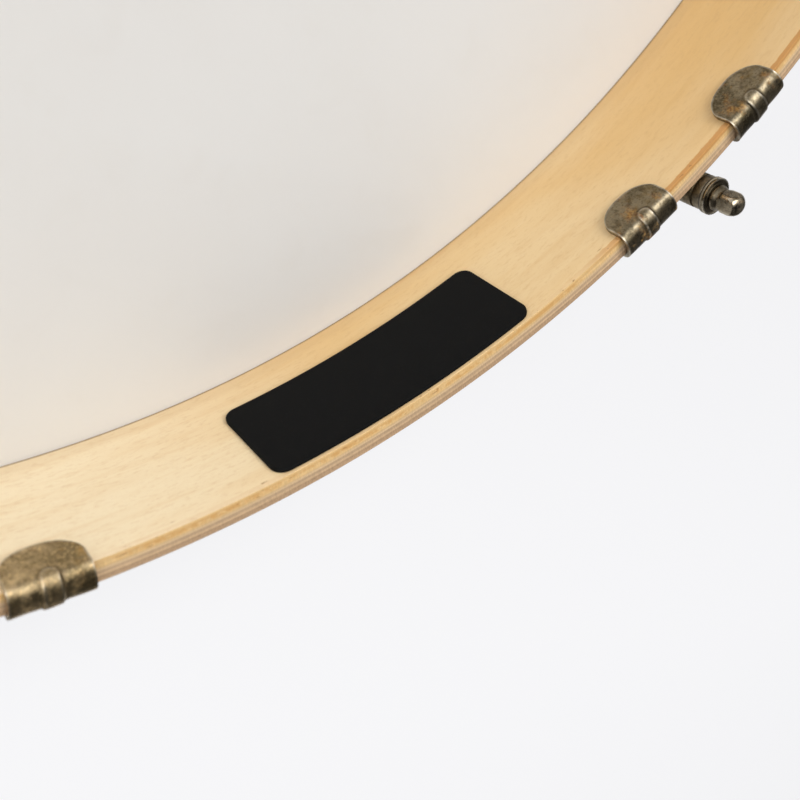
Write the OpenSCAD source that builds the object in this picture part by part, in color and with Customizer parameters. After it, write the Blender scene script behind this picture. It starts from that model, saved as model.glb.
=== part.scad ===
// Tunable bodhran: shallow plywood frame, goatskin head at the front,
// front counter-hoop drawn back by tension rods held on paired claws.
// Units are millimetres. +Z points from the playing face to the open back.
// The playing face of the head lies on Z = 0. +X lies midway between two stations, by the grip pad.

/* [Frame] */
// outside diameter of the plywood frame
frame_d = 457.2; // [400:0.2:520]
// depth of the frame from its front edge to its back edge
frame_h = 33.6; // [30:0.5:60]
// thickness of the inner face veneer
inner_ply_t = 2; // [1:0.1:2.5]
// thickness of the pale cross-grain veneer next to it
cross_ply_t = 0.55; // [0.4:0.05:1.2]
// thickness of the brown middle veneer
centre_ply_t = 0.65; // [0.2:0.05:1.2]
// thickness of the outer pale cross-grain veneer
outer_cross_t = 0.5; // [0.4:0.05:1.2]
// thickness of the outer face veneer
outer_ply_t = 1.3; // [1:0.05:2.5]
// chamfer that breaks the edges of the frame
edge_chamfer = 0.5; // [0.5:0.1:0.8]

/* [Head] */
// thickness of the skin
head_t = 0.8; // [0.5:0.1:1.2]
// how far the skin runs back along the outside of the frame
skirt_h = 15; // [12:0.5:17]

/* [Hoops] */
// radial thickness of the counter-hoop band
hoop_t = 2.4; // [2:0.1:2.6]
// height of the counter-hoop band
hoop_h = 7; // [6:0.5:8]
// height of the flesh hoop that holds the skin
flesh_h = 5.5; // [4:0.5:6]
// distance of the counter-hoop behind the playing face
hoop_z = 2.2; // [2:0.1:2.5]

/* [Claws] */
// width of each claw
claw_w = 15; // [12:0.2:17]
// thickness of the claw sheet
claw_t = 1; // [0.8:0.1:1.3]
// angle from the tension rod to each claw of its pair
claw_angle = 4.5; // [4.2:0.1:6]
// how far a claw reaches down the inner wall
claw_reach = 7.9; // [7:0.1:14]
// how far a claw stands proud of the back edge
claw_proud = 2; // [2:0.1:4]
// width of the pressed rib over each claw
rib_w = 3.9; // [3.5:0.1:7]
// height of the pressed rib
rib_h = 0.35; // [0.3:0.05:1]

/* [Tension rods] */
// distance of a rod's axis from the outside of the frame
rod_offset = 7; // [6.8:0.1:8]
// shank diameter
rod_d = 5; // [4:0.1:5]
// width across the square key head
key_w = 4.4; // [4.2:0.1:5.5]
// how far the key head reaches behind the back edge
key_reach = 8.3; // [8:0.1:12]
// outside diameter of the rod sleeve
sleeve_d = 7.9; // [7.5:0.1:8.4]

/* [Grip pad] */
// length of the pad along the inner wall
pad_len = 64; // [40:1:80]
// height of the pad
pad_h = 22.9; // [15:0.1:24]
// thickness of the pad
pad_t = 0.8; // [0.5:0.1:2]
// corner radius of the pad
pad_corner = 3; // [1:0.5:6]
// strip of bare wood between the pad and the back edge
pad_margin = 0.8; // [0.8:0.1:4]
// angle from +X to the middle of the pad
pad_angle = 1.45; // [-5:0.05:5]

/* [Output] */
// part to show

/* [Hidden] */
$fn = 96;
stations = 8;

frame_r = frame_d / 2;
wall = inner_ply_t + cross_ply_t + centre_ply_t + outer_cross_t + outer_ply_t;
inner_r = frame_r - wall;
front_z = head_t;
back_z = front_z + frame_h;
r1 = inner_r + inner_ply_t;
r2 = r1 + cross_ply_t;
r3 = r2 + centre_ply_t;
r4 = r3 + outer_cross_t;

// fits
seat_gap = 0.04;
run_gap = 0.08;

// head and hoops
bearing_chamfer = 0.9;
skirt_in = frame_r + seat_gap;
skirt_out = skirt_in + head_t;
shoulder = 1;
hoop_in = skirt_out + run_gap;
hoop_out = hoop_in + hoop_t;
flesh_z = hoop_z + hoop_h;

// claws and yokes
bend_in = wall / 2 + seat_gap;
bend_out = bend_in + claw_t;
bend_r = frame_r - wall / 2;
bend_sink = 0.7;
bend_z = back_z - bend_sink;
bend_h = claw_proud + bend_sink;
claw_half = asin(claw_w / 2 / frame_r);
rib_half = asin(rib_w / 2 / frame_r);
rib_drop = 2.8;
rib_straight = 1.4;
bend_steps = 16;
tab_half = claw_w / 2 + 0.2;
tab_depth = 5.8;
tab_power = 2.6;
tab_z = back_z - claw_reach + tab_depth;
strap_low = 15;
strap_high = 4;
strap_half = claw_angle + claw_half - 0.2;
strap_in = bend_r + bend_in + 0.1;
strap_out = bend_r + bend_out + 0.2;

// rods, sleeves and washers
station_step = 360 / stations;
first_station = station_step / 2;
rod_r = frame_r + rod_offset;
bore_r = rod_d / 2 + run_gap;
sleeve_z = back_z - strap_low + 0.5;
web_w = 5.6;
washer_d = 8.6;
washer_t = 0.8;
collar_z = back_z + 2 * washer_t;
collar_d = 6;
collar_h = 0.8;
neck_h = 0.9;
neck_d = 4.5;
key_corner_d = 1.27 * key_w;
key_tip = 1.2;
key_tip_d = key_w - 1;
rod_low = 1.4;
lug_d = 8.4;
lug_h = 8;

// points of one rounded corner, for outlines drawn as polygons
function corner(cx, cy, r, a0) = [for (i = [0:6]) [cx + r * cos(a0 + 15 * i), cy + r * sin(a0 + 15 * i)]];

// a ring with a rectangular section
module band(r_in, r_out, z0, z1) {
    rotate_extrude($fn = 240)
        translate([r_in, z0])
            square([r_out - r_in, z1 - z0]);
}

// a sector of a ring with a rectangular section, centred on +X
module sector(r_in, r_out, z0, z1, half) {
    rotate_extrude(angle = 2 * half, start = -half, $fn = 240)
        translate([r_in, z0])
            square([r_out - r_in, z1 - z0]);
}

// places children at every tuning station
module at_stations() {
    for (i = [0:stations - 1])
        rotate([0, 0, first_station + i * station_step])
            children();
}

// wood veneers
module ply_1_inner_face() {
    color([0.93, 0.80, 0.60])
        rotate_extrude($fn = 240)
            polygon([[inner_r, front_z], [r1, front_z], [r1, back_z],
                     [inner_r + edge_chamfer, back_z], [inner_r, back_z - edge_chamfer]]);
}

module ply_2_cross() {
    color([0.62, 0.55, 0.47])
        band(r1, r2, front_z, back_z);
}

module ply_3_centre() {
    color([0.88, 0.79, 0.66])
        band(r2, r3, front_z, back_z);
}

module ply_4_cross() {
    color([0.62, 0.55, 0.47])
        band(r3, r4, front_z, back_z);
}

module ply_5_outer_face() {
    color([0.92, 0.81, 0.64])
        rotate_extrude($fn = 240)
            polygon([[r4, front_z], [frame_r - bearing_chamfer, front_z],
                     [frame_r, front_z + bearing_chamfer], [frame_r, back_z - edge_chamfer],
                     [frame_r - edge_chamfer, back_z], [r4, back_z]]);
}

// skin: flat membrane, shoulder over the bearing edge, and skirt
module drum_head() {
    color([0.91, 0.89, 0.86])
        rotate_extrude($fn = 240)
            polygon([[0, 0], [skirt_out - shoulder, 0], [skirt_out, shoulder],
                     [skirt_out, skirt_h], [skirt_in, skirt_h], [skirt_in, front_z], [0, front_z]]);
}

// pad outline, seen from inside the drum
module pad_outline() {
    x = pad_len / 2 - pad_corner;
    y = pad_h / 2 - pad_corner;
    polygon(concat(corner(x, y, pad_corner, 0), corner(-x, y, pad_corner, 90),
                   corner(-x, -y, pad_corner, 180), corner(x, -y, pad_corner, 270)));
}

module grip_pad() {
    mid_z = back_z - pad_margin - pad_h / 2;
    pad_out = inner_r - seat_gap;
    color([0.13, 0.12, 0.12])
        rotate([0, 0, pad_angle])
            intersection() {
                band(pad_out - pad_t, pad_out, mid_z - pad_h / 2 - 1, mid_z + pad_h / 2 + 1);
                translate([inner_r - 20, 0, mid_z])
                    rotate([90, 0, 90])
                        linear_extrude(40)
                            pad_outline();
            }
}

// points along the flattened bend over the back edge, about its middle
function bend(rx, rz, a0, a1) = [for (i = [0:bend_steps]) let (a = a0 + (a1 - a0) * i / bend_steps)
    [rx * cos(a), rz * sin(a)]];

// U-shaped section of a claw
module claw_section() {
    inner_leg = claw_reach + 1 - bend_sink;
    outer_leg = strap_low - 1 - bend_sink;
    polygon(concat([[-bend_out, -inner_leg]], bend(bend_out, bend_h, 180, 0),
                   [[bend_out, -outer_leg], [bend_in, -outer_leg]], bend(bend_in, bend_h - claw_t, 0, 180),
                   [[-bend_in, -inner_leg]]));
}

// section of the pressed rib: stands over the bend and fades into the legs
module rib_section() {
    bed = bend_out - 0.3;
    crown = bend_out + rib_h;
    polygon(concat(bend(crown, bend_h + rib_h, 0, 180), [[-crown, -rib_straight], [-bed, -rib_drop]],
                   bend(bed, bend_h - 0.3, 180, 0), [[bed, -rib_drop], [crown, -rib_straight]]));
}

// sweeps a section over the back edge, across part of the claw's width
module over_edge(half) {
    rotate_extrude(angle = 2 * half, start = -half, $fn = 240)
        translate([bend_r, bend_z])
            children();
}

// round end of the inner tab, a superellipse
function tab_curve(steps) = [for (i = [0:steps]) let (a = 180 * i / steps)
    [tab_half * sign(cos(a)) * pow(abs(cos(a)), 2 / tab_power), -tab_depth * pow(sin(a), 2 / tab_power)]];

// what is cut away to give the inner tab its round end
module tab_waste() {
    translate([inner_r - 10, 0, tab_z])
        rotate([90, 0, 90])
            linear_extrude(10 + wall / 2)
                difference() {
                    translate([-claw_w, -3 * tab_depth])
                        square([2 * claw_w, 3 * tab_depth]);
                    polygon(tab_curve(24));
                }
}

module claw() {
    difference() {
        over_edge(claw_half)
            claw_section();
        tab_waste();
    }
    over_edge(rib_half)
        rib_section();
}

// two claws joined by the strap that carries the rod sleeve
module claw_yokes() {
    color([0.45, 0.42, 0.35])
        at_stations()
            union() {
                sector(strap_in, strap_out, back_z - strap_low, back_z - strap_high, strap_half);
                rotate([0, 0, claw_angle])
                    claw();
                rotate([0, 0, -claw_angle])
                    claw();
            }
}

module rod_sleeves() {
    color([0.40, 0.38, 0.33])
        at_stations()
            difference() {
                union() {
                    translate([rod_r, 0, sleeve_z])
                        cylinder(d = sleeve_d, h = back_z - sleeve_z);
                    translate([frame_r, -web_w / 2, sleeve_z])
                        cube([rod_offset, web_w, strap_low - strap_high - 1]);
                }
                cylinder(r = strap_out + seat_gap, h = 2 * back_z, $fn = 240);
                translate([rod_r, 0, 0])
                    cylinder(r = bore_r, h = 2 * back_z);
            }
}

// a flat washer on each rod
module washers(z, d) {
    at_stations()
        translate([rod_r, 0, z])
            difference() {
                cylinder(d = d, h = washer_t);
                translate([0, 0, -1])
                    cylinder(r = bore_r, h = washer_t + 2);
            }
}

module nylon_washers() {
    color([0.16, 0.15, 0.14])
        washers(back_z, washer_d - 0.1);
}

module steel_washers() {
    color([0.55, 0.52, 0.45])
        washers(back_z + washer_t, washer_d);
}

module flesh_hoop() {
    color([0.72, 0.58, 0.40])
        band(hoop_in, hoop_out, flesh_z, flesh_z + flesh_h);
}

module counter_hoop() {
    color([0.50, 0.47, 0.40])
        band(hoop_in, hoop_out, hoop_z, flesh_z);
}

// threaded barrels brazed on the counter-hoop
module hoop_lugs() {
    color([0.46, 0.43, 0.36])
        at_stations()
            difference() {
                translate([rod_r, 0, hoop_z])
                    cylinder(d = lug_d, h = lug_h);
                cylinder(r = hoop_out + seat_gap, h = back_z, $fn = 240);
                translate([rod_r, 0, 0])
                    cylinder(r = bore_r, h = back_z);
            }
}

// square head with eased corners and a tapered tip
module key_head(z, h) {
    translate([0, 0, z])
        intersection() {
            translate([-key_w / 2, -key_w / 2, 0])
                cube([key_w, key_w, h]);
            union() {
                cylinder(d = key_corner_d, h = h - key_tip);
                translate([0, 0, h - key_tip])
                    cylinder(d1 = key_corner_d, d2 = key_tip_d, h = key_tip);
            }
        }
}

module tension_rod(i) {
    neck_z = collar_z + collar_h;
    key_z = neck_z + neck_h;
    color([0.56, 0.53, 0.47])
        rotate([0, 0, first_station + (i - 1) * station_step])
            translate([rod_r, 0, 0])
                union() {
                    translate([0, 0, rod_low])
                        cylinder(d = rod_d, h = collar_z + 0.4 - rod_low);
                    translate([0, 0, collar_z])
                        cylinder(d = collar_d, h = collar_h);
                    translate([0, 0, neck_z])
                        cylinder(d1 = collar_d - 0.4, d2 = neck_d, h = neck_h);
                    key_head(key_z, back_z + key_reach - key_z);
                }
}

ply_1_inner_face();
ply_2_cross();
ply_3_centre();
ply_4_cross();
ply_5_outer_face();
drum_head();
grip_pad();
claw_yokes();
rod_sleeves();
nylon_washers();
steel_washers();
flesh_hoop();
counter_hoop();
hoop_lugs();
tension_rod(1);  // tension_rod_1
tension_rod(2);  // tension_rod_2
tension_rod(3);  // tension_rod_3
tension_rod(4);  // tension_rod_4
tension_rod(5);  // tension_rod_5
tension_rod(6);  // tension_rod_6
tension_rod(7);  // tension_rod_7
tension_rod(8);  // tension_rod_8
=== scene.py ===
"""Looks of a tunable bodhran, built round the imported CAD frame. Metres; +Z points to the open back."""
import math

import bmesh
import bpy
from mathutils import Matrix, Vector


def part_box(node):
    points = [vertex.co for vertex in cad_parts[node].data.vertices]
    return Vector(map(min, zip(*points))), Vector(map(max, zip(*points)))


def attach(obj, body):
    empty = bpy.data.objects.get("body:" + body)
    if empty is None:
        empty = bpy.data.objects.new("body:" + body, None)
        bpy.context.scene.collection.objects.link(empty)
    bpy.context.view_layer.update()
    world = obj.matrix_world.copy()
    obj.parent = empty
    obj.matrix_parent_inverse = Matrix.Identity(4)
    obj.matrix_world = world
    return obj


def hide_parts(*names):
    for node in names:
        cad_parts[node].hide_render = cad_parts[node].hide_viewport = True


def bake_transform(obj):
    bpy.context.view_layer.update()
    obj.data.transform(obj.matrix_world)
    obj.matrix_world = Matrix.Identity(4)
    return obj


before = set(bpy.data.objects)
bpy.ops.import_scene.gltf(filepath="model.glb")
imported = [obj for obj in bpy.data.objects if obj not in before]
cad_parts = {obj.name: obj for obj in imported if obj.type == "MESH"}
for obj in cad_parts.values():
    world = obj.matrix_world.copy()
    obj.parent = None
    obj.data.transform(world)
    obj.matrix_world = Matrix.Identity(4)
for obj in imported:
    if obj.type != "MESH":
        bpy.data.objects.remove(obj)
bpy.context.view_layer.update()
scene = bpy.context.scene
MM = 0.001

# ---------------------------------------------------------------- sizes, read from the CAD frame


def top(node):
    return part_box(node)[1].z


def low(node):
    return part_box(node)[0].z


def outer(node):
    return (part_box(node)[1].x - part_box(node)[0].x) / 2


def inner(node):
    return min(v.co.xy.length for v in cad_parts[node].data.vertices)


BACK = top("ply_5_outer_face")
FRONT = low("ply_5_outer_face")
R_OUT = outer("ply_5_outer_face")
R4, R3, R2, R1 = outer("ply_4_cross"), outer("ply_3_centre"), outer("ply_2_cross"), outer("ply_1_inner_face")
R_IN = inner("ply_1_inner_face")
WALL = R_OUT - R_IN
HEAD_T = FRONT
HOOP_IN = outer("drum_head") + 0.08 * MM
HOOP_OUT = outer("counter_hoop")
HOOP_LOW, HOOP_TOP = low("counter_hoop"), top("counter_hoop")
FLESH_TOP = top("flesh_hoop")
STATIONS = 8
STEP = math.radians(45)
CLAW_ANGLE = math.radians(4.5)
ROD_R = R_OUT + 7 * MM
SHANK_R = 2.5 * MM
KEY_HALF = 2.2 * MM
BORE_R = 2.58 * MM
ANGLES = [STEP / 2 + i * STEP for i in range(STATIONS)]

# ---------------------------------------------------------------- mesh helpers


def new_object(name, verts, faces, smooth=True):
    mesh = bpy.data.meshes.new(name)
    mesh.from_pydata([tuple(v) for v in verts], [], faces)
    mesh.validate()
    obj = bpy.data.objects.new(name, mesh)
    scene.collection.objects.link(obj)
    if smooth:
        mesh.shade_smooth()
    return obj


def fillet(points, steps=5):
    """Closed outline from [(x, y, radius)]: each corner is rounded to its radius."""
    out, n = [], len(points)
    for i, (x, y, r) in enumerate(points):
        p = Vector((x, y))
        if r <= 0:
            out.append((x, y))
            continue
        a = (Vector(points[i - 1][:2]) - p).normalized()
        b = (Vector(points[(i + 1) % n][:2]) - p).normalized()
        half = a.angle(b) / 2
        reach = r / math.tan(half)
        centre = p + (a + b).normalized() * (r / math.sin(half))
        start, end = p + a * reach - centre, p + b * reach - centre
        turn = start.angle_signed(end)
        for k in range(steps + 1):
            c, s = math.cos(-turn * k / steps), math.sin(-turn * k / steps)
            out.append((centre.x + start.x * c - start.y * s, centre.y + start.x * s + start.y * c))
    return out


def lathe(profile, segments, closed=True, centre=(0.0, 0.0)):
    """Revolves [(r, z)] about a vertical line. Returns vertices and faces."""
    verts, faces, n = [], [], len(profile)
    for k in range(segments):
        a = 2 * math.pi * k / segments
        verts += [(centre[0] + r * math.cos(a), centre[1] + r * math.sin(a), z) for r, z in profile]
    for k in range(segments):
        m = (k + 1) % segments
        for j in range(n if closed else n - 1):
            i = (j + 1) % n
            faces.append((k * n + j, m * n + j, m * n + i, k * n + i))
    return verts, faces


def join(parts):
    verts, faces = [], []
    for v, f in parts:
        base = len(verts)
        verts += list(v)
        faces += [tuple(i + base for i in face) for face in f]
    return verts, faces


def turned(part, angle):
    c, s = math.cos(angle), math.sin(angle)
    return [(x * c - y * s, x * s + y * c, z) for x, y, z in part[0]], part[1]


def sheet_faces(columns, steps):
    """Faces of a thick sheet: an outer grid, a matching inner grid after it, and the rim between them."""
    n, base, faces = steps + 1, (steps + 1) * (columns + 1), []
    for i in range(columns):
        for j in range(steps):
            a, b, c, d = i * n + j, (i + 1) * n + j, (i + 1) * n + j + 1, i * n + j + 1
            faces += [(a, b, c, d), (base + d, base + c, base + b, base + a)]
    loop = [i * n for i in range(columns + 1)] + [columns * n + j for j in range(1, n)]
    loop += [i * n + steps for i in range(columns - 1, -1, -1)] + list(range(steps - 1, 0, -1))
    for a, b in zip(loop, loop[1:] + loop[:1]):
        faces.append((b, a, base + a, base + b))
    return faces


def finish_piece(obj, node, body, material, smooth_angle):
    """Gives a piece its material, sharp edges and body, and hides the CAD node it stands for."""
    obj.data.materials.append(material)
    sharpen(obj, smooth_angle)
    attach(obj, body)
    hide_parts(node)


def sharpen(obj, degrees):
    """Marks edges sharper than this as sharp, so that smooth shading stops there."""
    bm = bmesh.new()
    bm.from_mesh(obj.data)
    bmesh.ops.recalc_face_normals(bm, faces=bm.faces)
    for e in bm.edges:
        e.smooth = len(e.link_faces) != 2 or e.calc_face_angle(0.0) < math.radians(degrees)
    bm.to_mesh(obj.data)
    bm.free()


# ---------------------------------------------------------------- material helpers


class Mat:
    """A material and short calls that add nodes to it. Inputs i0 to i2 go by number, others by name."""

    def __init__(self, name):
        self.material = bpy.data.materials.new(name)
        self.material.use_nodes = True
        self.tree = self.material.node_tree
        self.tree.nodes.clear()
        self.out = self.tree.nodes.new("ShaderNodeOutputMaterial")
        self.bsdf = self.tree.nodes.new("ShaderNodeBsdfPrincipled")
        self.tree.links.new(self.bsdf.outputs[0], self.out.inputs[0])
        coords = self.tree.nodes.new("ShaderNodeTexCoord")
        split = self.node("ShaderNodeSeparateXYZ", Vector=coords.outputs["Object"])
        self.pos = coords.outputs["Object"]
        self.x, self.y, self.z = split.outputs[0], split.outputs[1], split.outputs[2]

    def node(self, kind, props=None, **inputs):
        n = self.tree.nodes.new(kind)
        for key, value in (props or {}).items():
            setattr(n, key, value)
        for key, value in inputs.items():
            socket = int(key[1]) if key in ("i0", "i1", "i2") else key.replace("_", " ")
            self.put(n.inputs[socket], value)
        return n

    def put(self, socket, value):
        if isinstance(value, bpy.types.NodeSocket):
            self.tree.links.new(value, socket)
        else:
            socket.default_value = value

    def math(self, op, a, b=0.0, c=0.0):
        return self.node("ShaderNodeMath", {"operation": op}, i0=a, i1=b, i2=c).outputs[0]

    def radius(self):
        return self.math("SQRT", self.math("ADD", self.math("MULTIPLY", self.x, self.x),
                                           self.math("MULTIPLY", self.y, self.y)))

    def stretched(self, along, across, extra=None):
        """Coordinates that run long round the drum and short across it."""
        third = self.math("MULTIPLY", extra if extra is not None else self.z, across)
        return self.node("ShaderNodeCombineXYZ", None, X=self.math("MULTIPLY", self.x, along),
                         Y=self.math("MULTIPLY", self.y, along), Z=third).outputs[0]

    def noise(self, vector, scale=1.0, detail=3.0, rough=0.55, distort=0.0):
        return self.node("ShaderNodeTexNoise", None, Vector=vector, Scale=scale, Detail=detail,
                         Roughness=rough, Distortion=distort).outputs["Fac"]

    def span(self, value, a, b, c=0.0, d=1.0):
        n = self.node("ShaderNodeMapRange", {"interpolation_type": "SMOOTHSTEP"}, Value=value)
        for i, v in enumerate((a, b, c, d)):
            n.inputs[i + 1].default_value = v
        return n.outputs[0]

    def mix(self, fac, a, b, how="MIX"):
        n = self.node("ShaderNodeMix", {"data_type": "RGBA", "blend_type": how})
        self.put(n.inputs[0], fac)
        for socket, value in ((n.inputs[6], a), (n.inputs[7], b)):
            self.put(socket, value if isinstance(value, bpy.types.NodeSocket) else (*value, 1.0))
        return n.outputs[2]

    def attribute(self, name):
        return self.node("ShaderNodeAttribute", {"attribute_name": name}).outputs["Fac"]

    def bump(self, height, strength, distance):
        n = self.node("ShaderNodeBump", None, Strength=strength, Distance=distance, Height=height)
        self.put(self.bsdf.inputs["Normal"], n.outputs[0])

    def add_shader(self, shader, share):
        """Mixes this share of a second shader into the surface."""
        both = self.node("ShaderNodeMixShader", None, i0=share)
        self.tree.links.new(self.bsdf.outputs[0], both.inputs[1])
        self.tree.links.new(shader.outputs[0], both.inputs[2])
        self.tree.links.new(both.outputs[0], self.out.inputs[0])

    def finish(self, color, rough, metallic=0.0, **more):
        self.put(self.bsdf.inputs["Base Color"], color)
        self.put(self.bsdf.inputs["Roughness"], rough)
        self.put(self.bsdf.inputs["Metallic"], metallic)
        for key, value in more.items():
            self.put(self.bsdf.inputs[key.replace("_", " ")], value)
        return self.material


def maple_material(name, stain=False, edge=False):
    """Pale rotary-cut face veneer, its grain running round the drum."""
    light, deep = (0.86, 0.645, 0.355), (0.80, 0.52, 0.205)
    m = Mat(name)
    r = m.radius()
    across = m.math("ADD", m.z, r)
    angle = m.math("ARCTAN2", m.y, m.x)
    cloud = m.noise(m.stretched(9, 30, across), 1, 3, 0.5, 0.6)
    streak = m.noise(m.stretched(34, 330, across), 1, 4, 0.62, 0.5)
    fleck = m.noise(m.stretched(420, 1500, across), 1, 2, 0.6)
    speck = m.noise(m.stretched(1500, 2600, across), 1, 2, 0.6)
    color = m.mix(m.span(cloud, 0.35, 0.68), light, deep)
    # Painted light: the veneer is painted paler at negative angles, as the sheen on the lit side, and deeper
    # orange at positive angles, as the shaded side.
    pale = m.math("MULTIPLY", m.span(angle, -0.30, 0.12, 1.0, 0.0), m.span(angle, -2.8, -1.2))
    color = m.mix(pale, color, (0.93, 0.785, 0.54))
    painted_shade_side = m.math("MULTIPLY", m.span(angle, 0.25, 0.45, 0.0, 0.4), m.span(angle, 2.8, 1.4))
    color = m.mix(painted_shade_side, color, (0.80, 0.52, 0.22))
    color = m.mix(m.span(streak, 0.40, 0.78, 0, 0.34), color, (0.72, 0.44, 0.17))
    color = m.mix(m.span(streak, 0.22, 0.42, 0.26, 0), color, (0.89, 0.70, 0.43))
    color = m.mix(m.span(fleck, 0.50, 0.76, 0, 0.30), color, (0.66, 0.40, 0.17))
    color = m.mix(m.span(speck, 0.56, 0.74, 0, 0.16), color, (0.58, 0.36, 0.17))
    top_face = m.span(m.z, BACK - 0.10 * MM, BACK - 0.02 * MM)
    if stain:
        down, inward = m.math("SUBTRACT", BACK, m.z), m.math("SUBTRACT", r, R_IN)
        # The top face takes a darker, more orange end-grain tone; part of that darkness is painted shade on
        # the top face.
        color = m.mix(top_face, color, sawn_edge(m, r, angle, (0.76, 0.515, 0.235)))
        joint = m.span(inward, R1 - R_IN - 0.45 * MM, R1 - R_IN - 0.1 * MM, 0, 0.4)
        color = m.mix(m.math("MULTIPLY", joint, top_face), color, (0.50, 0.31, 0.14))
        patch = m.noise(m.stretched(60, 330, across), 1, 4, 0.65)
        cells = m.node("ShaderNodeCombineXYZ", None, X=m.math("MULTIPLY", angle, 170.0),
                       Y=m.math("MULTIPLY", inward, 700.0), Z=m.math("MULTIPLY", down, 700.0)).outputs[0]
        teeth = m.noise(cells, 1, 4, 0.7)
        strong = m.math("MULTIPLY", m.span(angle, 0.22, 0.30), m.span(angle, 0.72, 1.0, 1, 0))
        ragged = m.math("ADD", m.math("MULTIPLY", patch, 0.55), m.math("MULTIPLY", teeth, 0.45))
        drift = m.math("MULTIPLY", m.math("SUBTRACT", ragged, 0.5), 1.6 * MM)
        below = m.span(m.math("ADD", down, drift), 1.05 * MM, 1.35 * MM, 1, 0)
        strip = m.math("MULTIPLY", below, m.span(m.math("ADD", inward, drift), 0.5 * MM, 0.95 * MM, 1, 0))
        tone = m.mix(top_face, m.mix(patch, (0.68, 0.35, 0.11), (0.56, 0.25, 0.06)), (0.52, 0.255, 0.068))
        depth = m.math("ADD", m.math("MULTIPLY", strong, 0.80), 0.15)
        color = m.mix(m.math("MULTIPLY", strip, depth), color, tone)
        rise, fall = m.span(inward, 0.25 * MM, 0.7 * MM), m.span(inward, 1.3 * MM, 1.75 * MM, 1, 0)
        seep = m.math("MULTIPLY", m.math("MULTIPLY", rise, fall), top_face)
        seep = m.math("MULTIPLY", seep, m.span(ragged, 0.44, 0.56))
        depth = m.math("SUBTRACT", 0.75, m.math("MULTIPLY", strong, 0.35))
        color = m.mix(m.math("MULTIPLY", seep, depth), color, (0.60, 0.31, 0.08))
        dots = m.span(m.noise(m.stretched(520, 1400, across), 1, 1, 0.5), 0.69, 0.75, 0, 0.75)
        near = m.math("MULTIPLY", m.span(down, 1.6 * MM, 2.2 * MM, 1, 0),
                      m.span(inward, 1.4 * MM, 1.8 * MM, 1, 0))
        color = m.mix(m.math("MULTIPLY", near, dots), color, (0.36, 0.16, 0.045))
        # Painted shade where the wall meets the head: a soft browner band, and a dark contact line right at
        # the head.
        foot = m.span(m.z, FRONT + 2.2 * MM, FRONT + 4.2 * MM, 1, 0)
        color = m.mix(m.math("MULTIPLY", foot, 0.22), color, (0.66, 0.43, 0.20))
        contact_shade = m.span(m.z, FRONT + 0.25 * MM, FRONT + 0.7 * MM, 1, 0)
        color = m.mix(m.math("MULTIPLY", contact_shade, 0.75), color, (0.24, 0.13, 0.05))
    if edge:
        outward = m.math("SUBTRACT", r, R4)
        grey = sawn_edge(m, r, angle, (0.54, 0.355, 0.205), 0.66)
        dark = m.span(outward, 0.2 * MM, 0.6 * MM, 0.35, 0.0)
        color = m.mix(top_face, color, m.mix(dark, grey, (0.36, 0.225, 0.125)))
    m.bump(m.math("ADD", m.math("MULTIPLY", fleck, 0.5), m.math("MULTIPLY", speck, 0.5)), 0.2, 0.0001)
    return m.finish(color, m.span(streak, 0.2, 0.8, 0.40, 0.54), Coat_Weight=0.15, Coat_Roughness=0.35)


def sawn_edge(m, r, angle, tone, ticks=0.86):
    """Sawn edge of a veneer, with fine marks across it."""
    light, deep = tuple(c * 1.06 for c in tone), tuple(c * ticks for c in tone)
    hatch = m.noise(m.node("ShaderNodeCombineXYZ", None, X=m.math("MULTIPLY", angle, 900.0),
                           Y=m.math("MULTIPLY", r, 500.0)).outputs[0], 1, 3, 0.7)
    layer = m.noise(m.node("ShaderNodeCombineXYZ", None, X=m.math("MULTIPLY", angle, 9.0),
                           Y=m.math("MULTIPLY", r, 2600.0)).outputs[0], 1, 3, 0.6)
    color = m.mix(m.span(hatch, 0.34, 0.66), light, deep)
    color = m.mix(m.span(layer, 0.5, 0.68, 0, 0.5), color, tuple(c * 0.80 for c in tone))
    return m.mix(m.span(layer, 0.3, 0.46, 0.5, 0), color, tuple(c * 1.22 for c in tone))


def end_grain_material(name, tone):
    m = Mat(name)
    r, angle = m.radius(), m.math("ARCTAN2", m.y, m.x)
    color = sawn_edge(m, r, angle, tone)
    m.bump(m.noise(m.pos, 2600, 2, 0.6), 0.2, 0.0001)
    return m.finish(color, 0.72)


def tint(color, red, green, blue):
    return (color[0] * red, color[1] * green, color[2] * blue)


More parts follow.
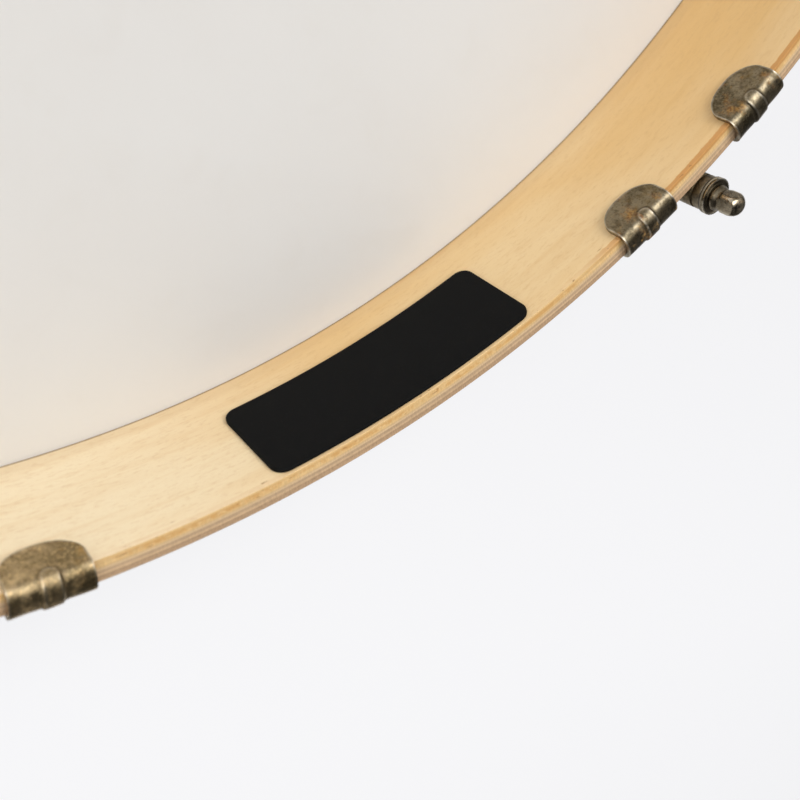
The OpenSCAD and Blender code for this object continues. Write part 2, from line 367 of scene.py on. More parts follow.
def metal_material(name, light, dark, rust=0.5, rough=(0.34, 0.50), paint_lit_band=False):
    m = Mat(name)
    cloud = m.noise(m.pos, 120, 5, 0.62, 0.4)
    mottle = m.noise(m.pos, 520, 4, 0.6)
    speck = m.noise(m.pos, 1900, 2, 0.6)
    calm = 1.0
    if paint_lit_band:
        # Painted light: the band of angles where the claws catch the most light is painted brighter and less
        # stained.
        angle = m.math("ARCTAN2", m.y, m.x)
        painted_light_band = m.math("MULTIPLY", m.span(angle, 0.1, -0.2), m.span(angle, -0.7, -0.5))
        calm = m.math("SUBTRACT", 1.0, m.math("MULTIPLY", painted_light_band, 0.6))
    color = m.mix(m.span(cloud, 0.36, 0.66), light, dark)
    stained = m.math("MULTIPLY", m.span(mottle, 0.44, 0.66, 0, 0.62), calm)
    color = m.mix(stained, color, tint(dark, 0.55, 0.51, 0.45))
    color = m.mix(m.span(speck, 0.54, 0.66, 0, 0.52), color, tint(light, 1.25, 1.2, 1.05))
    color = m.mix(m.span(speck, 0.34, 0.44, 0.55, 0), color, tint(dark, 0.6, 0.55, 0.45))
    spot = m.noise(m.pos, 230, 5, 0.7, 0.2)
    rusty = m.math("MULTIPLY", m.span(spot, 0.53, 0.69), rust)
    elsewhere = m.node("ShaderNodeVectorMath", None, i0=m.pos, i1=(3.1, 1.7, 0.4)).outputs[0]
    blot = m.noise(elsewhere, 95, 4, 0.7)
    color = m.mix(m.span(blot, 0.55, 0.70, 0, 0.6), color, tint(light, 0.9, 0.72, 0.40))
    if paint_lit_band:
        # Painted light: that band is painted brighter.
        color = m.mix(painted_light_band, color, m.mix(1.0, color, (2.65, 2.42, 2.1), "MULTIPLY"))
        rusty = m.math("MULTIPLY", rusty, calm)
    color = m.mix(rusty, color, m.mix(m.span(speck, 0.4, 0.6), (0.20, 0.085, 0.022), (0.36, 0.20, 0.05)))
    # Lighter where the first point attribute says, as rubbed wear and as painted highlight; darker where the
    # second says, as dirt and as painted shade.
    wear_and_sheen = m.math("MULTIPLY", m.attribute("wear_and_sheen"), m.span(mottle, 0.35, 0.6, 0.9, 0.45))
    color = m.mix(wear_and_sheen, color, (0.60, 0.54, 0.43))
    grime_and_shade = m.math("MULTIPLY", m.attribute("grime_and_shade"), m.span(mottle, 0.3, 0.7, 1.0, 0.75))
    color = m.mix(grime_and_shade, color, (0.055, 0.040, 0.022))
    shine = m.math("ADD", m.span(mottle, 0.3, 0.75, rough[0], rough[1]),
                   m.math("MULTIPLY", m.math("MAXIMUM", rusty, grime_and_shade), 0.3))
    m.bump(m.math("ADD", m.math("MULTIPLY", mottle, 0.7), m.math("MULTIPLY", speck, 0.3)), 0.22, 0.00012)
    return m.finish(color, shine, m.math("SUBTRACT", 1.0, m.math("MULTIPLY", rusty, 0.8)))


def skin_material():
    m = Mat("skin")
    cloud = m.noise(m.pos, 14, 4, 0.55, 0.6)
    vein = m.noise(m.pos, 60, 5, 0.6, 0.8)
    grain = m.noise(m.pos, 900, 2, 0.5)
    color = m.mix(m.span(cloud, 0.3, 0.7), (0.87, 0.855, 0.83), (0.855, 0.835, 0.805))
    color = m.mix(m.span(vein, 0.5, 0.75, 0, 0.06), color, (0.72, 0.66, 0.57))
    edge = m.span(m.radius(), R_OUT - 1.0 * MM, R_OUT + 0.6 * MM)
    color = m.mix(m.math("MULTIPLY", edge, 0.35), color, (0.62, 0.52, 0.38))
    m.bump(grain, 0.12, 0.00008)
    m.add_shader(m.node("ShaderNodeBsdfTranslucent", None, Color=color), 0.25)
    return m.finish(color, m.span(grain, 0.3, 0.7, 0.48, 0.6))


def pad_material():
    m = Mat("pad_rubber")
    grain = m.noise(m.pos, 2600, 2, 0.6)
    cloud = m.noise(m.pos, 60, 4, 0.6)
    color = m.mix(m.span(cloud, 0.3, 0.7), (0.0022, 0.0024, 0.0026), (0.0038, 0.0040, 0.0041))
    color = m.mix(m.span(grain, 0.55, 0.75, 0, 0.3), color, (0.014, 0.0142, 0.0145))
    m.bump(grain, 0.25, 0.00006)
    return m.finish(color, m.span(cloud, 0.3, 0.7, 0.62, 0.74), Specular_IOR_Level=0.11)


def plain_material(name, light, dark, rough, worn_and_lit_color=None):
    m = Mat(name)
    cloud = m.noise(m.pos, 300, 4, 0.6)
    color = m.mix(m.span(cloud, 0.3, 0.7), light, dark)
    if worn_and_lit_color:
        # Lighter where the point attribute says: rubbed wear, and on the nylon rims a painted highlight.
        color = m.mix(m.attribute("wear_and_sheen"), color, worn_and_lit_color)
    m.bump(m.noise(m.pos, 2200, 2, 0.5), 0.2, 0.00005)
    return m.finish(color, rough)


MAPLE = maple_material("maple_inner", stain=True)
MAPLE_OUT = maple_material("maple_outer", edge=True)
CROSS_MAT = end_grain_material("cross_veneer", (0.66, 0.465, 0.268))
CENTRE_MAT = end_grain_material("centre_veneer", (0.49, 0.335, 0.20))
OUTER_CROSS = end_grain_material("outer_cross_veneer", (0.60, 0.41, 0.238))
AGED = metal_material("aged_steel", (0.24, 0.196, 0.126), (0.10, 0.081, 0.047), rust=0.9, paint_lit_band=True)
TUBE = metal_material("aged_tube", (0.22, 0.17, 0.10), (0.085, 0.066, 0.036), rust=0.7)
HOOP_METAL = metal_material("hoop_metal", (0.38, 0.335, 0.24), (0.22, 0.19, 0.125), rust=0.4)
ROD_METAL = metal_material("rod_steel", (0.42, 0.36, 0.265), (0.19, 0.155, 0.10), rough=(0.17, 0.32))
SKIN = skin_material()
PAD = pad_material()
NYLON = plain_material("nylon", (0.02, 0.019, 0.017), (0.035, 0.032, 0.028), 0.45, (0.30, 0.25, 0.17))
FLESH = plain_material("flesh_wood", (0.45, 0.30, 0.16), (0.34, 0.21, 0.11), 0.6)

# ---------------------------------------------------------------- plywood frame

SEGMENTS = 900


def ply(node, r_in, r_out, round_in, round_out, material):
    front_in = 0.15 * MM if r_in == R_IN else 0
    front_out = 0.9 * MM if r_out == R_OUT else 0
    outline = fillet([(r_in, FRONT, front_in), (r_out, FRONT, front_out),
                      (r_out, BACK, round_out), (r_in, BACK, round_in)])
    rows = []
    for p, q in zip(outline, outline[1:] + outline[:1]):
        rows.append(p)
        if abs(p[1] - q[1]) > 10 * MM:
            rows += [(p[0], p[1] + (q[1] - p[1]) * k / 6) for k in range(1, 6)]
    obj = new_object(node.replace("ply", "veneer"), *lathe(rows, SEGMENTS))
    finish_piece(obj, node, "frame", material, 25)


ply("ply_1_inner_face", R_IN, R1, 0.15 * MM, 0, MAPLE)
ply("ply_2_cross", R1, R2, 0, 0, CROSS_MAT)
ply("ply_3_centre", R2, R3, 0, 0, CENTRE_MAT)
ply("ply_4_cross", R3, R4, 0, 0, OUTER_CROSS)
ply("ply_5_outer_face", R4, R_OUT, 0, 0.12 * MM, MAPLE_OUT)

# ---------------------------------------------------------------- skin


def build_skin():
    skirt_in = R_OUT + 0.05 * MM
    skirt_out = skirt_in + 0.7 * MM
    tuck = 0.45 * MM
    wrap_in, wrap_out = HOOP_OUT + 0.04 * MM, HOOP_OUT + 0.04 * MM + tuck
    under, over = FLESH_TOP + 0.04 * MM, FLESH_TOP + 0.04 * MM + tuck
    trim = FLESH_TOP - 4.0 * MM
    rings = [R_IN * k / 40 for k in range(1, 40)]
    inside = [(r, HEAD_T) for r in rings] + [(R_OUT - 1.3 * MM, HEAD_T)]
    inside += [(R_OUT - 1.3 * MM + 1.35 * MM * math.sin(a), HEAD_T + 1.35 * MM * (1 - math.cos(a)))
               for a in [math.pi / 2 * k / 6 for k in range(1, 7)]]
    inside += [(skirt_in, HEAD_T + 1.35 * MM + (under - HEAD_T - 2.0 * MM) * k / 14) for k in range(1, 14)]
    fold = [(skirt_in, under - 0.3 * MM), (skirt_in + 0.15 * MM, over - 0.12 * MM),
            (skirt_in + 0.5 * MM, over), (wrap_out - 0.5 * MM, over),
            (wrap_out - 0.12 * MM, over - 0.15 * MM), (wrap_out, over - 0.5 * MM)]
    fold += [(wrap_out, over - 0.5 * MM - (over - 0.5 * MM - trim) * k / 6) for k in range(1, 7)]
    fold += [(wrap_out - 0.12 * MM, trim - 0.1 * MM), (wrap_in, trim)]
    fold += [(wrap_in, trim + (under - trim) * k / 5) for k in range(1, 6)]
    fold += [(skirt_out + 0.04 * MM, under), (skirt_out, under - 0.2 * MM)]
    down = [(skirt_out, under - 0.2 * MM - (under - 0.2 * MM - 2.0 * MM) * k / 14) for k in range(1, 15)]
    shoulder = [(skirt_out - 2.0 * MM + 2.0 * MM * math.cos(a), 2.0 * MM - 2.0 * MM * math.sin(a))
                for a in [math.pi / 2 * k / 8 for k in range(1, 9)]]
    outside = [(r, 0.0) for r in reversed(rings)]
    profile = inside + fold + down + shoulder + outside
    n, segments = len(profile), 540
    verts, faces = lathe(profile, segments, closed=False)
    for z, j, flip in ((HEAD_T, 0, False), (0.0, n - 1, True)):
        centre = len(verts)
        verts.append((0.0, 0.0, z))
        for k in range(segments):
            a, b = k * n + j, ((k + 1) % segments) * n + j
            faces.append((centre, b, a) if flip else (centre, a, b))
    obj = new_object("skin", verts, faces)
    obj.data.materials.append(SKIN)
    sharpen(obj, 40)
    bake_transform(obj)
    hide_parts("drum_head")


build_skin()

# ---------------------------------------------------------------- grip pad


def build_pad():
    lo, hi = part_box("grip_pad")
    mid_angle = math.radians(1.45)
    half_l = 32.0 * MM
    half_h = (hi.z - lo.z) / 2
    mid_z = (hi.z + lo.z) / 2
    thick, corner = 0.8 * MM, 3.0 * MM
    soft = 0.35 * MM
    columns, rows = 96, 36
    verts = []

    def edge_soft(u, v):
        """Distance in from the rounded outline."""
        qx, qy = abs(u) - (half_l - corner), abs(v) - (half_h - corner)
        if qx > 0 and qy > 0:
            return corner - math.hypot(qx, qy)
        return corner - max(qx, qy)

    def place(u, v, lift):
        a = mid_angle + u / R_IN
        r = R_IN - 0.03 * MM - lift
        return (r * math.cos(a), r * math.sin(a), mid_z + v)

    for side in (0, 1):
        for i in range(columns + 1):
            u = half_l * math.sin(math.pi / 2 * (2 * i / columns - 1))
            over = abs(u) - (half_l - corner)
            reach = half_h - (corner - math.sqrt(max(corner * corner - over * over, 0)) if over > 0 else 0)
            for j in range(rows + 1):
                v = reach * math.sin(math.pi / 2 * (2 * j / rows - 1))
                d = edge_soft(u, v)
                lift = thick
                if d <= soft:
                    lift -= soft * (1 - math.sqrt(max(0.0, 1 - (1 - max(d, 0) / soft) ** 2)))
                verts.append(place(u, v, lift if side else 0.0))
    obj = new_object("pad", verts, sheet_faces(columns, rows))
    finish_piece(obj, "grip_pad", "frame", PAD, 50)


build_pad()

# ---------------------------------------------------------------- claws and yokes

CLAW_W = 15 * MM
CLAW_T = 1 * MM
REACH = 7.9 * MM
PROUD = 2 * MM
SINK = 0.7 * MM
BEND_X, BEND_H = WALL / 2 + 0.04 * MM + CLAW_T, PROUD + SINK
BEND_MID = R_OUT - WALL / 2
BEND_Z = BACK - SINK
TAB_HALF, TAB_DEPTH, TAB_POWER = CLAW_W / 2 + 0.1 * MM, 6.2 * MM, 2.25
TAB_Z = BACK - REACH + TAB_DEPTH
RIB_W, RIB_H = 3.9 * MM, 0.36 * MM
RIB_END = 3.5 * MM
STRAP_LOW, STRAP_HIGH = BACK - 15 * MM, BACK - 4 * MM
HOLD_IN, HOLD_OUT = R_OUT + 0.14 * MM, R_OUT + 1.24 * MM
FAR = 9.0


def smooth(x):
    x = min(1.0, max(0.0, x))
    return x * x * (3 - 2 * x)


def spread(marks, counts):
    """Values that run through the marks, with this many steps between each pair."""
    values = [a + (b - a) * k / n for a, b, n in zip(marks, marks[1:], counts) for k in range(n)]
    return values + [marks[-1]]


def claw_path(t):
    """Section of a claw from the tab's tip, over the edge and down: (x, z, normal x, normal z, from tip).

    Also returns the index of the crest, where the bend is highest.
    """
    tip = TAB_Z - TAB_DEPTH * (1 - (abs(t) / TAB_HALF) ** TAB_POWER) ** (1 / TAB_POWER)
    tab_rows, arc_rows, leg_rows = 22, 32, 8
    path = []
    for j in range(tab_rows):
        z = tip + (BEND_Z - tip) * j / tab_rows
        path.append((-BEND_X, z - BEND_Z, -1.0, 0.0, z - tip))
    for j in range(arc_rows + 1):
        a = math.pi - math.pi * j / arc_rows
        nx, nz = math.cos(a) / BEND_X, math.sin(a) / BEND_H
        size = math.hypot(nx, nz)
        path.append((BEND_X * math.cos(a), BEND_H * math.sin(a), nx / size, nz / size, FAR))
    for j in range(1, leg_rows + 1):
        path.append((BEND_X, (STRAP_LOW + 1 * MM - BEND_Z) * j / leg_rows, 1.0, 0.0, FAR))
    return path, tab_rows + arc_rows // 2


def claw_sheet(angle, seed):
    """Outer surface of one claw as a grid, thickened inwards, with its pressed rib."""
    half = CLAW_W / 2
    marks = [-half, -half + 0.6 * MM, -2.5 * MM, -1.4 * MM, 1.4 * MM, 2.5 * MM, half - 0.6 * MM, half]
    across = spread(marks, [6, 12, 9, 8, 9, 12, 6])
    columns = len(across) - 1
    grid, wear_and_sheen, grime_and_shade = [], [], []
    for t in across:
        path, crest = claw_path(t)
        run = [0.0]
        for p, q in zip(path, path[1:]):
            run.append(run[-1] + math.hypot(q[0] - p[0], q[1] - p[1]))
        column = []
        for (x, z, nx, nz, from_tip), gone in zip(path, run):
            down = run[crest] - gone
            reach = math.hypot(t, max(0.0, down - RIB_END))
            near = 1 - smooth((-down - 6.5 * MM) / (2.5 * MM))
            rib = near * (1 - smooth((reach - RIB_W / 2 + 0.45 * MM) / (0.55 * MM)))
            wave = 0.05 * MM * math.sin(t * 900 + seed) * math.sin(down * 700 + seed * 2)
            lift = RIB_H * rib + wave
            border = min(half - abs(t), from_tip if nx < -0.999 else FAR)
            edge = 1 - smooth((border - 0.1 * MM) / (0.35 * MM))
            # The sheet's edges are rubbed bright as wear; the rib's ridge and the bend's shoulder get a
            # painted highlight, and the crease at the rib's foot painted shade.
            ridge = 1 - smooth((abs(reach - RIB_W / 2 + 0.5 * MM) - 0.05 * MM) / (0.3 * MM))
            crease = 1 - smooth((abs(reach - RIB_W / 2 - 0.15 * MM) - 0.05 * MM) / (0.45 * MM))
            shoulder = 1 - smooth((abs(math.degrees(math.atan2(nz, nx)) - 146) - 8) / 13)
            wear_and_sheen.append(max(edge, 0.6 * ridge * near, 0.08 * shoulder))
            grime_and_shade.append(0.55 * crease * near)
            column.append((x + nx * lift, z + nz * lift, nx, nz, t))
        grid.append(column)
    verts, rows = [], len(grid[0])
    for depth in (0.0, CLAW_T):
        for column in grid:
            for px, pz, nx, nz, t in column:
                r = BEND_MID + px - nx * depth
                a = angle + t / R_OUT
                verts.append((r * math.cos(a), r * math.sin(a), BEND_Z + pz - nz * depth))
    wear_and_sheen, grime_and_shade = wear_and_sheen + [0.3] * len(wear_and_sheen), grime_and_shade + [0.0] * len(grime_and_shade)
    return verts, sheet_faces(columns, rows - 1), wear_and_sheen, grime_and_shade


def strap_sheet(angle):
    """Strap on the outside of the frame that joins the two claws."""
    half = 24.6 * MM
    corner, columns, rows = 2.2 * MM, 40, 10
    verts, wear_and_sheen = [], []
    for r in (HOLD_OUT, HOLD_IN):
        for i in range(columns + 1):
            t = half * math.sin(math.pi / 2 * (2 * i / columns - 1))
            over = abs(t) - (half - corner)
            cut = corner - math.sqrt(max(corner ** 2 - over * over, 0)) if over > 0 else 0.0
            for j in range(rows + 1):
                z = STRAP_LOW + cut + (STRAP_HIGH - STRAP_LOW - 2 * cut) * j / rows
                a = angle + t / R_OUT
                verts.append((r * math.cos(a), r * math.sin(a), z))
                wear_and_sheen.append(1.0 if j in (0, rows) or i in (0, columns) else 0.0)
    return verts, sheet_faces(columns, rows), wear_and_sheen, [0.0] * len(wear_and_sheen)


def set_bright_and_dark(obj, wear_and_sheen, grime_and_shade=None):
    """Stores where the metal is painted bright, as wear and as highlight, and where it is painted dark, as
    dirt and as shade.
    """
    for name, values in (("wear_and_sheen", wear_and_sheen), ("grime_and_shade", grime_and_shade or [0.0] * len(wear_and_sheen))):
        layer = obj.data.attributes.new(name, "FLOAT", "POINT")
        layer.data.foreach_set("value", values)


def bevel(obj, width):
    mod = obj.modifiers.new("soft_edges", "BEVEL")
    mod.width, mod.segments, mod.limit_method = width, 2, "ANGLE"
    mod.angle_limit = math.radians(45)


for index, station in enumerate(ANGLES):
    seed = index * 2.1
    pieces = [claw_sheet(station + CLAW_ANGLE, seed), claw_sheet(station - CLAW_ANGLE, seed + 1),
              strap_sheet(station)]
    verts, faces = join([(p[0], p[1]) for p in pieces])
    obj = new_object(f"yoke_{index + 1}", verts, faces)
    set_bright_and_dark(obj, [w for p in pieces for w in p[2]], [g for p in pieces for g in p[3]])
    finish_piece(obj, "claw_yokes", "frame", AGED, 60)
    bevel(obj, 0.22 * MM)

# ---------------------------------------------------------------- turned hardware


def at_station(index):
    return (ROD_R * math.cos(ANGLES[index]), ROD_R * math.sin(ANGLES[index]))


def ring_profile(r_in, r_out, z0, z1, soft):
    return fillet([(r_in, z0, soft * 0.5), (r_out, z0, soft), (r_out, z1, soft), (r_in, z1, soft * 0.5)], 4)


def nothing(r, z):
    return 0.0


def turned_set(name, node, body, profile, material, extra=None, rub_and_sheen=nothing, dirt_and_shade=nothing):
    """The same turned piece at every station, as one object. The first function paints it bright, as wear
    and as highlight; the second paints it dark, as dirt and as shade.
    """
    parts = []
    for i in range(STATIONS):
        parts.append(lathe(profile, 64, centre=at_station(i)))
        if extra:
            parts.append(turned(extra, ANGLES[i]))
    obj = new_object(name, *join(parts))
    wear_and_sheen, grime_and_shade = [], []
    for v in obj.data.vertices:
        index = round((math.atan2(v.co.y, v.co.x) - STEP / 2) / STEP) % STATIONS
        x, y = at_station(index)
        r = math.hypot(v.co.x - x, v.co.y - y)
        wear_and_sheen.append(rub_and_sheen(r, v.co.z))
        grime_and_shade.append(dirt_and_shade(r, v.co.z))
    set_bright_and_dark(obj, wear_and_sheen, grime_and_shade)
    finish_piece(obj, node, body, material, 40)


def dished_profile():
    """Washer with a raised rim; its dish is painted dark, as dirt and as the shade under the rod's collar.
    """
    z0, z1, r = BACK + 0.8 * MM, BACK + 1.6 * MM, 4.3 * MM
    return [(BORE_R, z0), (r - 0.22 * MM, z0), (r - 0.06 * MM, z0 + 0.08 * MM), (r, z0 + 0.26 * MM),
            (r, z1 - 0.22 * MM), (r - 0.06 * MM, z1 - 0.06 * MM), (r - 0.2 * MM, z1),
            (r - 0.36 * MM, z1 - 0.03 * MM), (r - 0.5 * MM, z1 - 0.2 * MM), (r - 0.68 * MM, z1 - 0.34 * MM),
            (3.2 * MM, z1 - 0.34 * MM), (3.08 * MM, z1 - 0.06 * MM), (2.95 * MM, z1), (BORE_R, z1)]


def sleeve_profile():
    z0, z1 = BACK - 14.5 * MM, BACK
    r = 3.95 * MM
    return [(BORE_R, z0 + 0.4 * MM), (BORE_R + 0.3 * MM, z0), (r - 0.4 * MM, z0),
            (r - 0.1 * MM, z0 + 0.15 * MM), (r, z0 + 0.5 * MM), (r, z1 - 2.6 * MM),
            (r - 0.25 * MM, z1 - 2.4 * MM), (r - 0.25 * MM, z1 - 2.1 * MM), (r, z1 - 1.9 * MM),
            (r, z1 - 0.5 * MM), (r - 0.15 * MM, z1 - 0.12 * MM), (r - 0.45 * MM, z1),
            (BORE_R + 0.3 * MM, z1), (BORE_R, z1 - 0.4 * MM)]


def web_block():
    """Saddle that ties the sleeve to the strap, at angle zero."""
    x0, x1, half = HOLD_OUT - 0.3 * MM, ROD_R - 2.7 * MM, 2.8 * MM
    z0, z1 = BACK - 14.5 * MM, BACK - 4.6 * MM
    verts, faces = [], []
    foot, crown = 0.6 * MM, 1.4 * MM
    outline = fillet([(-half, z0, foot), (half, z0, foot), (half, z1, crown), (-half, z1, crown)], 4)
    n = len(outline)
    for x, grow in ((x0, 1.35), (x0 + 0.5 * MM, 1.1), (x1, 1.0)):
        verts += [(x, y * grow, z) for y, z in outline]
    for layer in range(2):
        for k in range(n):
            m = (k + 1) % n
            faces.append((layer * n + k, layer * n + m, (layer + 1) * n + m, (layer + 1) * n + k))
    faces += [tuple(range(n - 1, -1, -1)), tuple(range(2 * n, 3 * n))]
    return verts, faces


def beyond(value, start, width):
    """Rises from 0 at start to 1 over this width. The last two are in millimetres."""
    return smooth((value - start * MM) / (width * MM))


# The sleeve is painted darker in its groove and lighter at its top outer edge.
turned_set("sleeves", "rod_sleeves", "frame", sleeve_profile(), TUBE, web_block(),
           rub_and_sheen=lambda r, z: 0.8 * beyond(z - BACK, -0.7, 0.3) * beyond(r, 3.5, 0.2),
           dirt_and_shade=lambda r, z: 1 - beyond(abs(z - BACK + 2.25 * MM), 0.1, 0.3))
# The washer rims are painted bright, as wear and as a highlight; the steel washers' dishes are painted dark,
# as dirt and as shade.
turned_set("dark_washers", "nylon_washers", "frame",
           ring_profile(BORE_R, 4.25 * MM, BACK + 0.02 * MM, BACK + 0.78 * MM, 0.22 * MM), NYLON,
           rub_and_sheen=lambda r, z: beyond(z - BACK, 0.45, 0.12) * beyond(r, 3.9, 0.15))
turned_set("bright_washers", "steel_washers", "frame", dished_profile(), ROD_METAL,
           rub_and_sheen=lambda r, z: beyond(r, 3.85, 0.15) * beyond(z - BACK, 1.2, 0.2),
           dirt_and_shade=lambda r, z: 0.7 * (1 - beyond(r, 3.65, 0.25)))
turned_set("lugs", "hoop_lugs", "hoop",
           ring_profile(BORE_R, 4.2 * MM, HOOP_LOW, HOOP_LOW + 8 * MM, 0.5 * MM), AGED)


def rod_sections():
    """The rod's foot and its head, as two lists of (height, radius as turned, milled square or not)."""
    start = [(1.4 * MM, 0.0, False), (1.4 * MM, 1.9 * MM, False), (1.8 * MM, 2.35 * MM, False)]
    collar = [(1.6, 2.5), (1.6, 2.75), (1.7, 2.86), (1.95, 2.95), (2.2, 2.94), (2.45, 2.88), (2.7, 2.76),
              (2.95, 2.62), (3.2, 2.52)]
    square = [(3.4, 2.46), (3.6, 2.46), (3.8, 2.5), (4.0, 2.58), (4.2, 2.68), (4.4, 2.75), (4.6, 2.79),
              (4.9, 2.8), (5.7, 2.8)]
    square += [(6.2 + 2.5 * math.sin(a), 2.8 * math.cos(a)) for a in spread([0, math.pi / 2], [18])]
    keyed = [(BACK + z * MM, r * MM, False) for z, r in collar]
    keyed += [(BACK + z * MM, r * MM, True) for z, r in square]
    return start, keyed


def outline_radius(turned_r, milled, t):
    """Radius at angle t where the turned shape meets the flats of the square, blended at the edge."""
    if not milled:
        return max(turned_r, 0.01 * MM)
    flat = KEY_HALF / max(abs(math.cos(t)), abs(math.sin(t)))
    blend = 0.11 * MM
    return max(-blend * math.log(math.exp(-flat / blend) + math.exp(-turned_r / blend)), 0.01 * MM)


def build_rod(index):
    segments, pitch, depth, slice_h, neck_r = 72, 0.8 * MM, 0.28 * MM, 0.1 * MM, 2.45 * MM
    start, key = rod_sections()
    thread_low, thread_top = 1.8 * MM, BACK - 15.2 * MM
    sections = list(start)
    rings = int((thread_top - thread_low) / slice_h)
    threaded = range(len(sections), len(sections) + rings)
    sections += [(thread_low + slice_h * (k + 1), SHANK_R, False) for k in range(rings)]
    sections += [(thread_top + 0.4 * MM, neck_r, False), (BACK - 1 * MM, neck_r, False)] + key
    cx, cy = at_station(index)
    turn = ANGLES[index] + math.radians((61 + 37 * index) % 90)
    c, s = math.cos(turn), math.sin(turn)
    verts, faces, wear_and_sheen, grime_and_shade = [], [], [], []
    for row, (z, a, milled) in enumerate(sections):
        for k in range(segments):
            t = 2 * math.pi * k / segments
            reach = outline_radius(a, milled, t)
            x, y = reach * math.cos(t), reach * math.sin(t)
            if row in threaded:
                wave = abs(((z / pitch - k / segments) % 1.0) * 2 - 1)
                fade = smooth((thread_top - z) / (0.6 * MM))
                shrink = 1 - depth / SHANK_R * (1 - wave) * fade
                x, y = x * shrink, y * shrink
            verts.append((cx + x * c - y * s, cy + x * s + y * c, z))
            wear_and_sheen.append(smooth((reach / KEY_HALF - 1.12) / 0.10) if milled else 0.0)
            # The rod is painted darker where its collar meets the washer and at the waist below the square.
            crevice = 1 - beyond(abs(z - BACK - 1.6 * MM), 0.1, 0.35)
            neck = 0.5 * (1 - beyond(abs(z - BACK - 3.0 * MM), 0.5, 0.6))
            grime_and_shade.append(max(crevice, neck))
    for row in range(len(sections) - 1):
        for k in range(segments):
            m = (k + 1) % segments
            a, b = row * segments, (row + 1) * segments
            faces.append((a + k, a + m, b + m, b + k))
    faces += [tuple(range(segments - 1, -1, -1)), tuple(range((len(sections) - 1) * segments, len(verts)))]
    obj = new_object(f"rod_{index + 1}", verts, faces)
    set_bright_and_dark(obj, wear_and_sheen, grime_and_shade)
    finish_piece(obj, f"tension_rod_{index + 1}", f"rod_{index + 1}", ROD_METAL, 50)


for index in range(STATIONS):
    build_rod(index)

# ---------------------------------------------------------------- hoops


def band(name, node, r_in, r_out, z0, z1, soft, material):
    outline = fillet([(r_in, z0, soft), (r_out, z0, soft), (r_out, z1, soft), (r_in, z1, soft)], 5)
    obj = new_object(name, *lathe(outline, SEGMENTS))
    set_bright_and_dark(obj, [0.0] * len(obj.data.vertices))
    finish_piece(obj, node, "hoop", material, 40)


band("front_hoop", "counter_hoop", HOOP_IN, HOOP_OUT, HOOP_LOW, HOOP_TOP, 0.7 * MM, HOOP_METAL)
band("inner_hoop", "flesh_hoop", HOOP_IN, HOOP_OUT, HOOP_TOP, FLESH_TOP, 0.5 * MM, FLESH)

# ---------------------------------------------------------------- stage


def floor_material():
    """White sweep: near shadowless to the camera, a plain pale surface to everything else."""
    m = Mat("floor")
    seen = m.node("ShaderNodeLightPath").outputs["Is Camera Ray"]
    # Painted light: for the camera the floor glows, painted lighter towards one side; in reflections it is a
    # darker grey.
    toward = m.math("SUBTRACT", m.math("MULTIPLY", m.x, 0.82), m.math("MULTIPLY", m.y, 0.57))
    color = m.mix(m.span(toward, 0.05, 0.33), (0.868, 0.868, 0.883), (0.928, 0.928, 0.943))
    m.add_shader(m.node("ShaderNodeEmission", None, Color=color), m.math("MULTIPLY", seen, 0.78))
    return m.finish(m.mix(seen, (0.62, 0.62, 0.62), color), 0.9)


floor = new_object("floor", [(-6, -6, 0), (6, -6, 0), (6, 6, 0), (-6, 6, 0)], [(0, 1, 2, 3)], smooth=False)
floor.location.z = -0.0003
floor.data.materials.append(floor_material())

world = bpy.data.worlds.new("studio")
scene.world = world
world.use_nodes = True


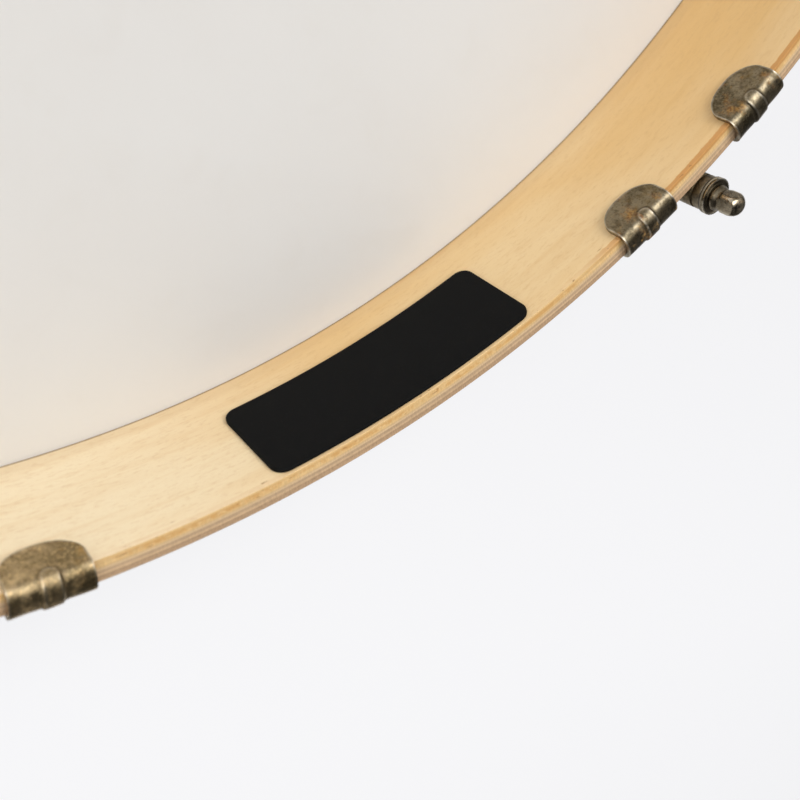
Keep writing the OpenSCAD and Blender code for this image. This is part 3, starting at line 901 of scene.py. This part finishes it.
def light_the_world(tree):
    """Broad overhead light for dull surfaces; metal sees a bright band low on one side under a dim roof."""
    sky = tree.nodes["Background"]
    split = tree.nodes.new("ShaderNodeSeparateXYZ")
    tree.links.new(tree.nodes.new("ShaderNodeTexCoord").outputs["Generated"], split.inputs[0])
    path = tree.nodes.new("ShaderNodeLightPath")

    def ramp(axis, a, b, c, d):
        n = tree.nodes.new("ShaderNodeMapRange")
        n.interpolation_type = "SMOOTHSTEP"
        tree.links.new(split.outputs[axis], n.inputs[0])
        for i, v in enumerate((a, b, c, d)):
            n.inputs[i + 1].default_value = v
        return n.outputs[0]

    def combine(op, a, b):
        n = tree.nodes.new("ShaderNodeMath")
        n.operation = op
        tree.links.new(a, n.inputs[0])
        tree.links.new(b, n.inputs[1])
        return n.outputs[0]

    def choose(fac, a, b):
        n = tree.nodes.new("ShaderNodeMix")
        n.data_type = "FLOAT"
        tree.links.new(fac, n.inputs[0])
        for value, socket in ((a, n.inputs[2]), (b, n.inputs[3])):
            if isinstance(value, float):
                socket.default_value = value
            else:
                tree.links.new(value, socket)
        return n.outputs[0]

    overhead = ramp(2, 0.0, 0.75, 0.10, 0.70)
    gloss = combine("MULTIPLY", ramp(2, -0.1, 0.5, 0.28, 0.98), ramp(2, 0.7, 0.97, 1.0, 0.07))
    gloss = combine("MULTIPLY", gloss, ramp(0, 0.15, -0.75, 0.18, 1.0))
    side = combine("MULTIPLY", ramp(0, -0.1, -0.5, 0.0, 1.0), ramp(1, 0.4, 0.2, 0.15, 1.0))
    side = combine("MULTIPLY", side, ramp(2, 0.4, 0.75, 1.0, 9.0))
    gloss = combine("MULTIPLY", gloss, combine("MAXIMUM", side, ramp(1, -0.1, 0.5, 0.35, 1.0)))
    seen = choose(path.outputs["Is Glossy Ray"], overhead, gloss)
    tree.links.new(choose(path.outputs["Is Camera Ray"], seen, 0.92), sky.inputs[1])
    sky.inputs[0].default_value = (0.98, 0.985, 1.0, 1)


light_the_world(world.node_tree)


def area(name, location, target, size, power, color=(1, 1, 1)):
    data = bpy.data.lights.new(name, "AREA")
    data.shape, data.size, data.energy, data.color = "DISK", size, power, color
    obj = bpy.data.objects.new(name, data)
    scene.collection.objects.link(obj)
    obj.location = location
    obj.rotation_mode = "QUATERNION"
    obj.rotation_quaternion = (Vector(target) - Vector(location)).to_track_quat("-Z", "Y")
    obj.visible_glossy = False


area("key", (-0.55, 0.62, 0.98), (0.1, 0.0, 0.0), 0.9, 12, (1.0, 0.985, 0.96))
area("fill", (-0.35, -0.95, 1.0), (0.1, 0.0, 0.0), 0.9, 3.4, (0.98, 0.985, 1.0))

# ---------------------------------------------------------------- camera, at the photograph's viewpoint

camera_data = bpy.data.cameras.new("camera")
camera = bpy.data.objects.new("camera", camera_data)
scene.collection.objects.link(camera)
scene.camera = camera
camera_data.sensor_width = 36
camera_data.lens = 44.603
camera_data.clip_start = 0.01
right = Vector((0.158798, 0.795765, 0.584415))
up = Vector((-0.724634, 0.495978, -0.478447))
ahead = right.cross(up) * -1
camera.matrix_world = Matrix.Translation(Vector((91.005, -65.308, 161.265 + 0.1)) * MM) @ Matrix(
    (right, up, -ahead)).transposed().to_4x4()
focus = bpy.data.objects.new("focus", None)
scene.collection.objects.link(focus)
focus.location = (R_IN * math.cos(0.25), R_IN * math.sin(0.25), BACK)
camera_data.dof.use_dof = True
camera_data.dof.focus_object = focus
camera_data.dof.aperture_fstop = 18
scene.view_settings.view_transform = "Standard"
scene.view_settings.look = "None"
